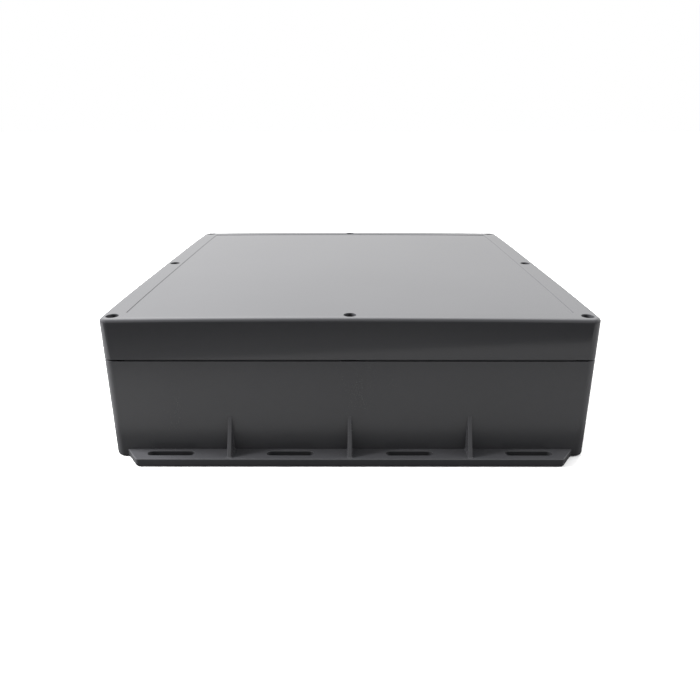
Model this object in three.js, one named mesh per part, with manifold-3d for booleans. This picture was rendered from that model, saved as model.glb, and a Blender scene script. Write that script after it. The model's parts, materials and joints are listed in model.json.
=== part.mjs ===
// Electrical junction box: a low, square, moulded enclosure with a separate deep lid, held by eight
// captive screws and sealed by a gasket that runs inside them.
// Millimetres, +Z up. The origin is the middle of the underside, the face that goes against a wall.
// The front is -Y. Slotted mounting flanges stand out at the front and at the back.

import * as THREE from 'three';
import { mergeVertices } from 'three/addons/utils/BufferGeometryUtils.js';
import Module from 'manifold-3d';

const wasm = await Module();
wasm.setup();

// ---------------------------------------------------------------- driving dimensions
const SIDE = 400; // outside width and depth of base and lid
const HEIGHT = 123.4; // underside to the lid's rim
const BASE_TOP = 86.8; // base rim
const PARTING_GAP = 1.4; // open line between base and lid
const CORNER_RADIUS = 8; // upright edges
const LID_EDGE_RADIUS = 3; // round top edge of the lid
const BASE_EDGE_RADIUS = 2; // round bottom edge of the base
const SKIN = 4; // floor and lid top thickness
const CLEARANCE = 0.3; // between pieces that touch

const RECESS_MARGIN = 18; // lid edge to the recess in its top
const RECESS_DEPTH = 0.5;

const FLANGE_DEPTH = 17; // how far a flange stands out from the wall
const FLANGE_THICKNESS = 7.1;
const FLANGE_HALF_AT_WALL = 188.5;
const FLANGE_HALF_AT_EDGE = 176.7;
const FLANGE_CORNER_RADIUS = 3.5;
const SLOT_LENGTH = 39;
const SLOT_WIDTH = 7;
const SLOT_OUT = 7.1; // slot centre line to the wall
const SLOT_CENTRES = [-150, -50, 50, 150];
const GUSSET_CENTRES = [-100, 0, 100];
const GUSSET_TOP = 38;
const GUSSET_REACH = 15;
const GUSSET_THICKNESS = 3.5;

const SCREW_INSET = 9.6; // screw centre to the outside faces
const COUNTERBORE_RADIUS = 5;
const COUNTERBORE_FLOOR = 95;
const CLEAR_HOLE_RADIUS = 2.9;

const SEAL_LINE = 3; // outside face to the middle of the gasket
const SEAL_ROUND_SCREW = 6.6; // screw centre to the middle of the gasket
const GROOVE_HALF_WIDTH = 1.25;
const GROOVE_DEPTH = 4.2;
const GASKET_HALF_WIDTH = 0.9;
const GASKET_HEIGHT = 2.3;
const TONGUE_HALF_WIDTH = 0.8;
const CAVITY_OFFSET = 2.2; // middle of the gasket to the inside of the walls

const RIB_THICKNESS = 2.5;
const RIB_DEPTH = 6;
const RIB_CENTRES = [-90, 90];

const INSERT_RADIUS = 3.5;
const INSERT_BORE = 2.75;
const INSERT_LENGTH = 11.5;
const PILLAR_PAD_RADIUS = 5.2;
const PILLAR_HOLE_DEPTH = 24;

const SCREW_RADIUS = 2.35; // M5 thread, drawn at its pitch line
const SCREW_HEAD_RADIUS = 4.3;
const SCREW_HEAD_HEIGHT = 3.2;
const SCREW_LENGTH = 20;
const TIP_CHAMFER = 0.3; // share of a screw's radius
const HEAD_FLANK = 0.45; // share of a head's height that is upright
const DRIVE_REACH = 0.55; // share of a head's radius
const DRIVE_THICKNESS = 0.12; // share of a head's radius, to each side
const DRIVE_DEPTH = 0.6; // share of a head's height
const O_RING_RADIUS = 3.4;
const O_RING_WIRE = 0.6;
const O_RING_SIDES = 5;

const PLATE_SIDE = 340;
const PLATE_THICKNESS = 1.5;
const PLATE_CORNER_RADIUS = 6;
const PLATE_SCREW_CENTRE = 155;
const PLATE_HOLE_RADIUS = 2.3;
const STANDOFF_HEIGHT = 9.2;
const STANDOFF_RADIUS = 5.5;
const PLATE_SCREW_RADIUS = 1.85; // M4
const PLATE_SCREW_HEAD_RADIUS = 3.8;
const PLATE_SCREW_HEAD_HEIGHT = 2.6;
const PLATE_SCREW_LENGTH = 9.4;

// ---------------------------------------------------------------- worked-out levels
const HALF = SIDE / 2;
const LID_BOTTOM = BASE_TOP + PARTING_GAP;
const PAD_TOP = LID_BOTTOM - CLEARANCE;
const GROOVE_TOP = LID_BOTTOM + GROOVE_DEPTH;
const GASKET_TOP = GROOVE_TOP - CLEARANCE;
const TONGUE_TOP = GASKET_TOP - GASKET_HEIGHT - CLEARANCE;
const RECESS_FLOOR = HEIGHT - RECESS_DEPTH;
const LID_CEILING = RECESS_FLOOR - SKIN;
const STANDOFF_TOP = SKIN + STANDOFF_HEIGHT;
const PLATE_BOTTOM = STANDOFF_TOP + CLEARANCE;
const PLATE_TOP = PLATE_BOTTOM + PLATE_THICKNESS;
const SEAT = COUNTERBORE_FLOOR + CLEARANCE; // underside of the O-rings
const HEAD_SEAT = SEAT + 2 * O_RING_WIRE + CLEARANCE;
const OVERLAP = 1; // how far a cutter or a joined piece runs into its neighbour
const ROUND = 16; // sides of a round hole or column
const SMALL_ROUND = 12; // sides of a fastener or O-ring
const DOME_STEPS = 2; // rings of a screw head's dome

// Where the lid screws are: which side of the middle each lies on, and its name.
const SCREW_PLACES = [
  { name: 'front_left', sideX: -1, sideY: -1 },
  { name: 'front_middle', sideX: 0, sideY: -1 },
  { name: 'front_right', sideX: 1, sideY: -1 },
  { name: 'left_middle', sideX: -1, sideY: 0 },
  { name: 'right_middle', sideX: 1, sideY: 0 },
  { name: 'back_left', sideX: -1, sideY: 1 },
  { name: 'back_middle', sideX: 0, sideY: 1 },
  { name: 'back_right', sideX: 1, sideY: 1 },
].map((place) => ({
  ...place,
  x: place.sideX * (HALF - SCREW_INSET),
  y: place.sideY * (HALF - SCREW_INSET),
}));
const PLATE_SCREW_PLACES = SCREW_PLACES.filter((place) => place.sideX && place.sideY).map((place) => ({
  name: place.name,
  x: place.sideX * PLATE_SCREW_CENTRE,
  y: place.sideY * PLATE_SCREW_CENTRE,
}));

// ---------------------------------------------------------------- solids from three.js geometry
function solidFrom(geometry) {
  geometry.deleteAttribute('normal');
  geometry.deleteAttribute('uv');
  const merged = mergeVertices(geometry, 1e-5);
  return new wasm.Manifold(
    new wasm.Mesh({
      numProp: 3,
      vertProperties: new Float32Array(merged.attributes.position.array),
      triVerts: new Uint32Array(merged.index.array),
    }),
  );
}

function geometryFrom(solid) {
  const { vertProperties, triVerts } = solid.getMesh();
  const geometry = new THREE.BufferGeometry();
  geometry.setAttribute('position', new THREE.BufferAttribute(vertProperties, 3));
  geometry.setIndex(new THREE.BufferAttribute(triVerts, 1));
  geometry.computeVertexNormals();
  return geometry;
}

function block(xLow, xHigh, yLow, yHigh, zLow, zHigh) {
  const geometry = new THREE.BoxGeometry(xHigh - xLow, yHigh - yLow, zHigh - zLow);
  geometry.translate((xLow + xHigh) / 2, (yLow + yHigh) / 2, (zLow + zHigh) / 2);
  return solidFrom(geometry);
}

function rod(x, y, zLow, zHigh, radius) {
  const geometry = new THREE.CylinderGeometry(radius, radius, zHigh - zLow, ROUND);
  geometry.rotateX(Math.PI / 2);
  geometry.translate(x, y, (zLow + zHigh) / 2);
  return solidFrom(geometry);
}

// A turned piece on the Z axis, from a profile of [radius, height] points.
function turned(profile) {
  const geometry = new THREE.LatheGeometry(
    profile.map(([radius, height]) => new THREE.Vector2(radius, height)),
    SMALL_ROUND,
  );
  geometry.rotateX(Math.PI / 2);
  return geometry;
}

// A prism of a flat outline, from zLow to zHigh.
function prism(shape, zLow, zHigh) {
  const geometry = new THREE.ExtrudeGeometry(shape, {
    depth: zHigh - zLow,
    bevelEnabled: false,
    curveSegments: 5,
  });
  geometry.translate(0, 0, zLow);
  return geometry;
}

// A prism whose top and bottom edges are rounded by edgeRadius.
function roundedPrism(shape, zLow, zHigh, edgeRadius) {
  const geometry = new THREE.ExtrudeGeometry(shape, {
    depth: zHigh - zLow - 2 * edgeRadius,
    bevelThickness: edgeRadius,
    bevelSize: edgeRadius,
    bevelOffset: -edgeRadius,
    bevelSegments: 3,
    curveSegments: 4,
  });
  geometry.translate(0, 0, zLow + edgeRadius);
  return solidFrom(geometry);
}

function roundedSquare(half, radius) {
  const straight = half - radius;
  const shape = new THREE.Shape();
  shape.absarc(straight, straight, radius, 0, Math.PI / 2);
  shape.absarc(-straight, straight, radius, Math.PI / 2, Math.PI);
  shape.absarc(-straight, -straight, radius, Math.PI, 1.5 * Math.PI);
  shape.absarc(straight, -straight, radius, 1.5 * Math.PI, 2 * Math.PI);
  return shape;
}

function joined(solids) {
  return solids.reduce((sum, solid) => sum.add(solid));
}

function cut(solid, cutters) {
  return cutters.reduce((left, cutter) => left.subtract(cutter), solid);
}

// ---------------------------------------------------------------- the line the gasket follows
// The space inside the gasket's line, moved inwards by inset. It keeps away from every screw.
function sealedSpace(inset, zLow, zHigh) {
  const edge = HALF - SEAL_LINE - inset;
  const reach = SEAL_ROUND_SCREW + inset;
  const columns = SCREW_PLACES.flatMap(({ sideX, sideY, x, y }) => {
    // From just inside the screw to past the wall, or as wide as the screw's own column.
    const span = (side, centre, near) =>
      side === 0 ? [-reach, reach] : [centre - side * near, side * SIDE].sort((a, b) => a - b);
    const pieces = [rod(x, y, zLow - OVERLAP, zHigh + OVERLAP, reach)];
    if (sideY) {
      pieces.push(block(...span(sideX, x, reach), ...span(sideY, y, 0), zLow - OVERLAP, zHigh + OVERLAP));
    }
    if (sideX) {
      pieces.push(block(...span(sideX, x, 0), ...span(sideY, y, reach), zLow - OVERLAP, zHigh + OVERLAP));
    }
    return pieces;
  });
  return cut(block(-edge, edge, -edge, edge, zLow, zHigh), columns);
}

// A ring of the given half width along the gasket's line.
function sealRing(halfWidth, zLow, zHigh) {
  const inside = sealedSpace(halfWidth, zLow - OVERLAP, zHigh + OVERLAP);
  return sealedSpace(-halfWidth, zLow, zHigh).subtract(inside);
}

// ---------------------------------------------------------------- base
function flangeOutline() {
  const wall = -HALF + OVERLAP;
  const edge = -HALF - FLANGE_DEPTH;
  const slant = new THREE.Vector2(FLANGE_HALF_AT_WALL - FLANGE_HALF_AT_EDGE, FLANGE_DEPTH).normalize();
  const shape = new THREE.Shape();
  const corner = (side) => {
    const along = new THREE.Vector2(side * (FLANGE_HALF_AT_EDGE - FLANGE_CORNER_RADIUS), edge);
    const up = new THREE.Vector2(
      side * (FLANGE_HALF_AT_EDGE + slant.x * FLANGE_CORNER_RADIUS),
      edge + slant.y * FLANGE_CORNER_RADIUS,
    );
    return side < 0 ? [up, along] : [along, up];
  };
  shape.moveTo(-FLANGE_HALF_AT_WALL, wall);
  for (const side of [-1, 1]) {
    const [start, end] = corner(side);
    shape.lineTo(start.x, start.y);
    shape.quadraticCurveTo(side * FLANGE_HALF_AT_EDGE, edge, end.x, end.y);
  }
  shape.lineTo(FLANGE_HALF_AT_WALL, wall);
  return shape;
}

function slotOutline(centre) {
  const straight = (SLOT_LENGTH - SLOT_WIDTH) / 2;
  const line = -HALF - SLOT_OUT;
  const shape = new THREE.Shape();
  shape.absarc(centre + straight, line, SLOT_WIDTH / 2, -Math.PI / 2, Math.PI / 2);
  shape.absarc(centre - straight, line, SLOT_WIDTH / 2, Math.PI / 2, 1.5 * Math.PI);
  return shape;
}

// A triangular web between the flange and the wall, standing square to both.
function gusset(centre) {
  const shape = new THREE.Shape();
  shape.moveTo(-OVERLAP, FLANGE_THICKNESS - OVERLAP);
  shape.lineTo(GUSSET_REACH, FLANGE_THICKNESS - OVERLAP);
  shape.lineTo(GUSSET_REACH, FLANGE_THICKNESS);
  shape.lineTo(0, GUSSET_TOP);
  shape.lineTo(-OVERLAP, GUSSET_TOP);
  const geometry = prism(shape, -GUSSET_THICKNESS / 2, GUSSET_THICKNESS / 2);
  // The outline's x becomes the way out from the front wall, and its y becomes the height.
  geometry.rotateX(Math.PI / 2);
  geometry.rotateZ(-Math.PI / 2);
  geometry.translate(centre, -HALF, 0);
  return geometry;
}

// The same geometry at the front and, turned half round, at the back.
function frontAndBack(makeGeometry) {
  return [solidFrom(makeGeometry()), solidFrom(makeGeometry().rotateZ(Math.PI))];
}

function enclosureBase() {
  const bottomRounded = roundedPrism(
    roundedSquare(HALF, CORNER_RADIUS),
    0,
    BASE_TOP + 2 * BASE_EDGE_RADIUS,
    BASE_EDGE_RADIUS,
  );
  const outside = bottomRounded.subtract(
    block(-HALF - OVERLAP, HALF + OVERLAP, -HALF - OVERLAP, HALF + OVERLAP, BASE_TOP, HEIGHT),
  );
  const flanges = frontAndBack(() => prism(flangeOutline(), 0, FLANGE_THICKNESS));
  const gussets = GUSSET_CENTRES.flatMap((centre) => frontAndBack(() => gusset(centre)));
  const slots = SLOT_CENTRES.flatMap((centre) =>
    frontAndBack(() => prism(slotOutline(centre), -OVERLAP, FLANGE_THICKNESS + OVERLAP)),
  );
  const shell = outside.subtract(sealedSpace(CAVITY_OFFSET, SKIN, HEIGHT));
  const tongue = sealRing(TONGUE_HALF_WIDTH, BASE_TOP - OVERLAP, TONGUE_TOP);
  const pads = SCREW_PLACES.map(({ x, y }) => rod(x, y, BASE_TOP - OVERLAP, PAD_TOP, PILLAR_PAD_RADIUS));
  const standoffs = PLATE_SCREW_PLACES.map(({ x, y }) =>
    rod(x, y, SKIN - OVERLAP, STANDOFF_TOP, STANDOFF_RADIUS),
  );
  const insertHoles = SCREW_PLACES.map(({ x, y }) =>
    rod(x, y, PAD_TOP - INSERT_LENGTH - 2 * CLEARANCE, HEIGHT, INSERT_RADIUS + CLEARANCE),
  );
  const tipHoles = SCREW_PLACES.map(({ x, y }) =>
    rod(x, y, PAD_TOP - PILLAR_HOLE_DEPTH, HEIGHT, SCREW_RADIUS + 2 * CLEARANCE),
  );
  const plateHoles = PLATE_SCREW_PLACES.map(({ x, y }) =>
    rod(x, y, SKIN, HEIGHT, PLATE_SCREW_RADIUS + CLEARANCE),
  );
  const whole = joined([shell, ...flanges, ...gussets, tongue, ...pads, ...standoffs]);
  return cut(whole, [...slots, ...insertHoles, ...tipHoles, ...plateHoles]);
}

// ---------------------------------------------------------------- lid
function enclosureLid() {
  const rounded = roundedPrism(
    roundedSquare(HALF, CORNER_RADIUS),
    LID_BOTTOM - 2 * LID_EDGE_RADIUS,
    HEIGHT,
    LID_EDGE_RADIUS,
  );
  const outside = rounded.subtract(
    block(-HALF - OVERLAP, HALF + OVERLAP, -HALF - OVERLAP, HALF + OVERLAP, 0, LID_BOTTOM),
  );
  const recessHalf = HALF - RECESS_MARGIN;
  const recess = block(-recessHalf, recessHalf, -recessHalf, recessHalf, RECESS_FLOOR, HEIGHT + OVERLAP);
  const hollow = sealedSpace(CAVITY_OFFSET, 0, LID_CEILING);
  const groove = sealRing(GROOVE_HALF_WIDTH, 0, GROOVE_TOP);
  const counterbores = SCREW_PLACES.map(({ x, y }) =>
    rod(x, y, COUNTERBORE_FLOOR, HEIGHT + OVERLAP, COUNTERBORE_RADIUS),
  );
  const clearHoles = SCREW_PLACES.map(({ x, y }) => rod(x, y, 0, HEIGHT, CLEAR_HOLE_RADIUS));
  const ribEnd = HALF - SEAL_LINE - CAVITY_OFFSET + OVERLAP;
  const ribs = RIB_CENTRES.flatMap((centre) => [
    block(
      centre - RIB_THICKNESS / 2,
      centre + RIB_THICKNESS / 2,
      -ribEnd,
      ribEnd,
      LID_CEILING - RIB_DEPTH,
      LID_CEILING + OVERLAP,
    ),
    block(
      -ribEnd,
      ribEnd,
      centre - RIB_THICKNESS / 2,
      centre + RIB_THICKNESS / 2,
      LID_CEILING - RIB_DEPTH,
      LID_CEILING + OVERLAP,
    ),
  ]);
  const shell = cut(outside, [recess, hollow, groove, ...counterbores, ...clearHoles]);
  return joined([shell, ...ribs]);
}

function lidGasket() {
  return sealRing(GASKET_HALF_WIDTH, GASKET_TOP - GASKET_HEIGHT, GASKET_TOP);
}

// ---------------------------------------------------------------- fasteners
// A cross-head screw with its tip at z = 0 and a domed head that starts at z = length.
function crossHeadScrew(radius, length, headRadius, headHeight) {
  const tip = radius * TIP_CHAMFER;
  const flank = headHeight * HEAD_FLANK;
  const dome = Array.from({ length: DOME_STEPS + 1 }, (_, step) => {
    const angle = (step / DOME_STEPS) * (Math.PI / 2);
    return [headRadius * Math.cos(angle), length + flank + (headHeight - flank) * Math.sin(angle)];
  });
  dome[dome.length - 1][0] = 0;
  const body = solidFrom(
    turned([
      [0, 0],
      [radius - tip, 0],
      [radius, tip],
      [radius, length],
      [headRadius, length],
      ...dome,
    ]),
  );
  const top = length + headHeight;
  const armHalf = headRadius * DRIVE_REACH;
  const armThin = headRadius * DRIVE_THICKNESS;
  const bottom = top - headHeight * DRIVE_DEPTH;
  return cut(body, [
    block(-armHalf, armHalf, -armThin, armThin, bottom, top + OVERLAP),
    block(-armThin, armThin, -armHalf, armHalf, bottom, top + OVERLAP),
  ]);
}

function threadedInsert() {
  return solidFrom(
    turned([
      [INSERT_BORE, 0],
      [INSERT_RADIUS, 0],
      [INSERT_RADIUS, INSERT_LENGTH],
      [INSERT_BORE, INSERT_LENGTH],
      [INSERT_BORE, 0],
    ]),
  );
}

function screwSeal() {
  return solidFrom(new THREE.TorusGeometry(O_RING_RADIUS, O_RING_WIRE, O_RING_SIDES, SMALL_ROUND));
}

// ---------------------------------------------------------------- mounting plate
function mountingPlate() {
  const sheet = solidFrom(
    prism(roundedSquare(PLATE_SIDE / 2, PLATE_CORNER_RADIUS), PLATE_BOTTOM, PLATE_TOP),
  );
  const holes = PLATE_SCREW_PLACES.map(({ x, y }) => rod(x, y, 0, HEIGHT, PLATE_HOLE_RADIUS));
  return cut(sheet, holes);
}

// ---------------------------------------------------------------- materials
const darkPlastic = { color: 0x46484b, roughness: 0.42, metalness: 0 };
const softSeal = { color: 0x17181a, roughness: 0.75, metalness: 0 };
const stainless = { color: 0xb9bcc0, roughness: 0.32, metalness: 1 };
const brass = { color: 0xb5903f, roughness: 0.35, metalness: 1 };
const galvanised = { color: 0xa4a9ad, roughness: 0.45, metalness: 1 };

// ---------------------------------------------------------------- assembly
const junctionBox = new THREE.Group();

function addPiece(name, solid, finish, x = 0, y = 0, z = 0) {
  const mesh = new THREE.Mesh(geometryFrom(solid), new THREE.MeshStandardMaterial(finish));
  mesh.name = name;
  mesh.position.set(x, y, z);
  junctionBox.add(mesh);
}

addPiece('enclosure_base', enclosureBase(), darkPlastic);
addPiece('enclosure_lid', enclosureLid(), darkPlastic);
addPiece('lid_gasket', lidGasket(), softSeal);
addPiece('mounting_plate', mountingPlate(), galvanised);

for (const { name, x, y } of SCREW_PLACES) {
  const screw = crossHeadScrew(SCREW_RADIUS, SCREW_LENGTH, SCREW_HEAD_RADIUS, SCREW_HEAD_HEIGHT);
  addPiece(`lid_screw_${name}`, screw, stainless, x, y, HEAD_SEAT - SCREW_LENGTH);
  addPiece(`screw_seal_${name}`, screwSeal(), softSeal, x, y, SEAT + O_RING_WIRE);
  addPiece(`threaded_insert_${name}`, threadedInsert(), brass, x, y, PAD_TOP - INSERT_LENGTH - CLEARANCE);
}

for (const { name, x, y } of PLATE_SCREW_PLACES) {
  const screw = crossHeadScrew(
    PLATE_SCREW_RADIUS,
    PLATE_SCREW_LENGTH,
    PLATE_SCREW_HEAD_RADIUS,
    PLATE_SCREW_HEAD_HEIGHT,
  );
  addPiece(`plate_screw_${name}`, screw, stainless, x, y, PLATE_TOP + CLEARANCE - PLATE_SCREW_LENGTH);
}

export default junctionBox;
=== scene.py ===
"""Electrical junction box: fine meshes, materials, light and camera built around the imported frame.

Metres, +Z up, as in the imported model. The origin is the middle of the underside. The front is -Y.
"""

import json
import math

import bmesh
import bpy
from mathutils import Matrix, Vector

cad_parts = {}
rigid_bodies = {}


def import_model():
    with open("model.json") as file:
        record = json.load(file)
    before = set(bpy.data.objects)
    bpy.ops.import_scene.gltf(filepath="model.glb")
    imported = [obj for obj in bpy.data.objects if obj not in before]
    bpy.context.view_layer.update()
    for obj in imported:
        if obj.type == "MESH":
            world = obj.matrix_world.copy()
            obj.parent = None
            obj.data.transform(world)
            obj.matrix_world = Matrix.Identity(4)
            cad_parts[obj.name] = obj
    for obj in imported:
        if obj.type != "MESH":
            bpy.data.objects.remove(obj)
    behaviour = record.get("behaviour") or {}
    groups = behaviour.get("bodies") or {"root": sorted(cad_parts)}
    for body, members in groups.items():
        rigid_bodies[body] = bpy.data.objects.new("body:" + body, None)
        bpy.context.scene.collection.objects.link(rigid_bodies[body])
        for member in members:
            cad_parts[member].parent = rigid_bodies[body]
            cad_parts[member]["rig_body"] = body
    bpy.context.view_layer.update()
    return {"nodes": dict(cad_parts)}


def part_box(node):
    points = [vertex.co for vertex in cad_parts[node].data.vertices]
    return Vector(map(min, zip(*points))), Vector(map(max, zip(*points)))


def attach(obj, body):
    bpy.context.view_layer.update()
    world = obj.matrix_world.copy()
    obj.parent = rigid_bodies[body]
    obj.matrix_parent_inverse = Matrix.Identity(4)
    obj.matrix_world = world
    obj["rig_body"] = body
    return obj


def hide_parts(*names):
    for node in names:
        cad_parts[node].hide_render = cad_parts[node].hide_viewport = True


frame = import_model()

MM = 0.001
FULL_TURN = 2 * math.pi

# ---------------------------------------------------------------- sizes taken from the frame
base_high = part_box("enclosure_base")[1]
lid_low, lid_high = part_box("enclosure_lid")
gasket_low, gasket_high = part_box("lid_gasket")
plate_low, plate_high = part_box("mounting_plate")

HALF = lid_high.x
HEIGHT = lid_high.z
LID_BOTTOM = lid_low.z
TONGUE_TOP = base_high.z
FLANGE_DEPTH = base_high.y - HALF

# ---------------------------------------------------------------- sizes of the mouldings
PARTING_GAP = 1.4 * MM
BASE_TOP = LID_BOTTOM - PARTING_GAP
CORNER_RADIUS = 8 * MM
LID_EDGE_RADIUS = 3 * MM
BASE_EDGE_RADIUS = 2 * MM
PARTING_RADIUS = 0.3 * MM
SKIN = 4 * MM
CLEARANCE = 0.3 * MM
OVERLAP = 1 * MM  # how far a cutter or a joined piece runs into its neighbour
STEP = 0.01 * MM  # the height of a level ledge, so that no two rings coincide
CHAMFER = 0.3 * MM

CROWN = 1.4 * MM  # how much lower the lid's corners lie than the middles of its sides
RIM_LINES = [x * MM for x in (6, 10, 14)]  # extra rings across the rim, for an even fall
RECESS_MARGIN = 18 * MM
RECESS_DEPTH = 0.5 * MM
RECESS_RADIUS = 0.25 * MM
LID_CEILING = HEIGHT - RECESS_DEPTH - SKIN

FLANGE_THICKNESS = 7.1 * MM
FLANGE_HALF_AT_WALL = 188.5 * MM
FLANGE_HALF_AT_EDGE = 176.7 * MM
FLANGE_CORNER_RADIUS = 3.5 * MM
FLANGE_EDGE_RADIUS = 0.8 * MM
FLANGE_FOOT_RADIUS = 1.5 * MM
SLOT_LENGTH = 39 * MM
SLOT_WIDTH = 7 * MM
SLOT_OUT = 7.1 * MM
SLOT_CENTRES = [x * MM for x in (-150, -50, 50, 150)]
SLOT_LIP = 0.4 * MM
GUSSET_CENTRES = [x * MM for x in (-100, 0, 100)]
GUSSET_TOP = 38 * MM
GUSSET_REACH = 15 * MM
GUSSET_THICKNESS = 3.5 * MM
GUSSET_FILLET = 1 * MM
GUSSET_EDGE_RADIUS = 0.7 * MM
GUSSET_SINK = 0.12 * MM  # how far the fillets run into the wall
GUSSET_TIP_REACH = 0.3 * MM
GUSSET_DRAFT = 0.1  # share of its thickness that a gusset loses towards the top

COUNTERBORE_RADIUS = 5 * MM
COUNTERBORE_FLOOR = 95 * MM
COUNTERBORE_LIP = 0.45 * MM
CLEAR_HOLE_RADIUS = 2.9 * MM

SEAL_LINE = 3 * MM  # outside face to the middle of the gasket
SEAL_ROUND_SCREW = 6.6 * MM  # screw centre to the middle of the gasket
SEAL_TURN = 2.5 * MM  # radius where the gasket turns off towards a screw
GROOVE_HALF_WIDTH = 1.25 * MM
GROOVE_TOP = gasket_high.z + CLEARANCE
GASKET_HALF_WIDTH = 0.9 * MM
GASKET_FULLNESS = 0.6  # 1 would make its section an ellipse, and 0 a rectangle
TONGUE_HALF_WIDTH = 0.8 * MM
CAVITY_OFFSET = 2.2 * MM

RIB_THICKNESS = 2.5 * MM
RIB_DEPTH = 6 * MM
RIB_CENTRES = [x * MM for x in (-90, 90)]

PILLAR_PAD_RADIUS = 5.2 * MM
PILLAR_PAD_TOP = LID_BOTTOM - CLEARANCE
PILLAR_HOLE_DEPTH = 24 * MM
TIP_HOLE_RADIUS = 2.95 * MM
INSERT_HOLE_RADIUS = 3.8 * MM
STANDOFF_RADIUS = 5.5 * MM
STANDOFF_TOP = plate_low.z - CLEARANCE
STANDOFF_HOLE_RADIUS = 2.15 * MM
STANDOFF_FILLET = 1 * MM
PLATE_CORNER_RADIUS = 6 * MM
PLATE_HOLE_RADIUS = 2.3 * MM
PLATE_EDGE_RADIUS = 0.2 * MM

SAME_POINT = 0.0001 * MM  # points closer than this are one point

# Edges that turn by more degrees than this stay sharp
SHARP_MOULDED = 32
SHARP_THREADED = 40
SHARP_SOFT = 60

# Steps round corners and along sides
CORNER_STEPS = 10
SIDE_STEPS = 24
ARC_STEPS = 8
EDGE_STEPS = 5
LIP_STEPS = 4
RECESS_STEPS = 3
RECESS_FLOOR_STEPS = 14
SLOT_END_STEPS = 16
GUSSET_STEPS = 16
GASKET_STEPS = 24
O_RING_STEPS = 18
HOLE_STEPS = 48


def middle(node):
    """The point on the upright axis of a CAD node, at its lowest level."""
    low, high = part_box(node)
    return Vector(((low.x + high.x) / 2, (low.y + high.y) / 2, low.z))


def places(kind):
    """Where the fasteners of one kind are, as the ends of their CAD nodes' names."""
    return sorted(node.removeprefix(kind) for node in frame["nodes"] if node.startswith(kind))


LID_SCREWS = places("lid_screw_")
PLATE_SCREWS = places("plate_screw_")
SCREW_AXES = {place: middle(f"lid_screw_{place}") for place in LID_SCREWS}
PLATE_AXES = {place: middle(f"plate_screw_{place}") for place in PLATE_SCREWS}
SCREW_OFF_CENTRE = max(axis.x for axis in SCREW_AXES.values())


# ---------------------------------------------------------------- mesh helpers
def new_object(name, vertices, faces):
    """A mesh object in the scene."""
    mesh = bpy.data.meshes.new(name)
    mesh.from_pydata([tuple(v) for v in vertices], [], faces)
    mesh.update()
    made = bpy.data.objects.new(name, mesh)
    bpy.context.scene.collection.objects.link(made)
    return made


def loft(name, rings, closed=False):
    """A closed solid through rings of equally many points.

    It ends in two flat caps, or, when closed, its last ring joins its first.
    """
    count = len(rings[0])
    vertices = [point for ring in rings for point in ring]
    faces = []
    pairs = len(rings) if closed else len(rings) - 1
    for i in range(pairs):
        a = i * count
        b = ((i + 1) % len(rings)) * count
        for j in range(count):
            k = (j + 1) % count
            faces.append((a + j, a + k, b + k, b + j))
    if not closed:
        last = (len(rings) - 1) * count
        faces.append(tuple(reversed(range(count))))
        faces.append(tuple(range(last, last + count)))
    return new_object(name, vertices, faces)


def lifted(outline, height):
    """A flat outline raised to a height, which is a number or a function of x and y."""
    if callable(height):
        return [Vector((x, y, height(x, y))) for x, y in outline]
    return [Vector((x, y, height)) for x, y in outline]


def circle(radius, centre):
    """The points of a circle."""
    angles = [FULL_TURN * i / HOLE_STEPS for i in range(HOLE_STEPS)]
    return [(centre[0] + radius * math.cos(a), centre[1] + radius * math.sin(a)) for a in angles]


def arc(start_angle, end_angle, steps):
    """Unit vectors from one angle to the other, in degrees."""
    found = []
    for i in range(steps + 1):
        angle = math.radians(start_angle + (end_angle - start_angle) * i / steps)
        found.append((math.cos(angle), math.sin(angle)))
    return found


def turned(name, centre, profile):
    """A solid turned about an upright axis, from (radius, height) points in rising order."""
    return loft(name, [lifted(circle(radius, centre), z) for radius, z in profile])


def rounded_outline(corners):
    """A closed outline through (x, y, radius) corners, each turned by an arc of that radius."""
    points = []
    for i, (x, y, radius) in enumerate(corners):
        here = Vector((x, y))
        if radius == 0:
            points.append((x, y))
            continue
        before = (Vector(corners[i - 1][:2]) - here).normalized()
        after = (Vector(corners[(i + 1) % len(corners)][:2]) - here).normalized()
        half = before.angle(after) / 2
        centre = here + (before + after).normalized() * radius / math.sin(half)
        start = here + before * radius / math.tan(half) - centre
        end = here + after * radius / math.tan(half) - centre
        sweep = start.angle(end)
        for step in range(ARC_STEPS + 1):
            t = step / ARC_STEPS
            blend = start * math.sin((1 - t) * sweep) + end * math.sin(t * sweep)
            points.append(tuple(centre + blend / math.sin(sweep)))
    return [p for i, p in enumerate(points) if math.dist(p, points[i - 1]) > SAME_POINT]


def rounded_square(half, radius, side_steps=1):
    """A square outline with rounded corners, each side cut into side_steps."""
    points = []
    straight = half - radius
    for quarter in range(4):
        turn = Matrix.Rotation(quarter * math.pi / 2, 2)
        for x, y in arc(-90, 0, CORNER_STEPS):
            points.append(turn @ Vector((straight + radius * x, -straight + radius * y)))
        for step in range(1, side_steps):
            points.append(turn @ Vector((half, -straight + 2 * straight * step / side_steps)))
    return [tuple(p) for p in points]


def combine(target, tools, operation):
    """Joins or cuts target with each tool in turn and removes the tools."""
    for tool in tools:
        modifier = target.modifiers.new("combine", "BOOLEAN")
        modifier.object = tool
        modifier.operation = operation
        modifier.solver = "EXACT"
    evaluated = target.evaluated_get(bpy.context.evaluated_depsgraph_get())
    result = bpy.data.meshes.new_from_object(evaluated)
    target.modifiers.clear()
    target.data = result
    for tool in tools:
        bpy.data.objects.remove(tool)
    return target


def merged(name, parts):
    """Several separate solids as one object."""
    joined = bmesh.new()
    for part in parts:
        joined.from_mesh(part.data)
        bpy.data.objects.remove(part)
    mesh = bpy.data.meshes.new(name)
    joined.to_mesh(mesh)
    joined.free()
    made = bpy.data.objects.new(name, mesh)
    bpy.context.scene.collection.objects.link(made)
    return made


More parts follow.
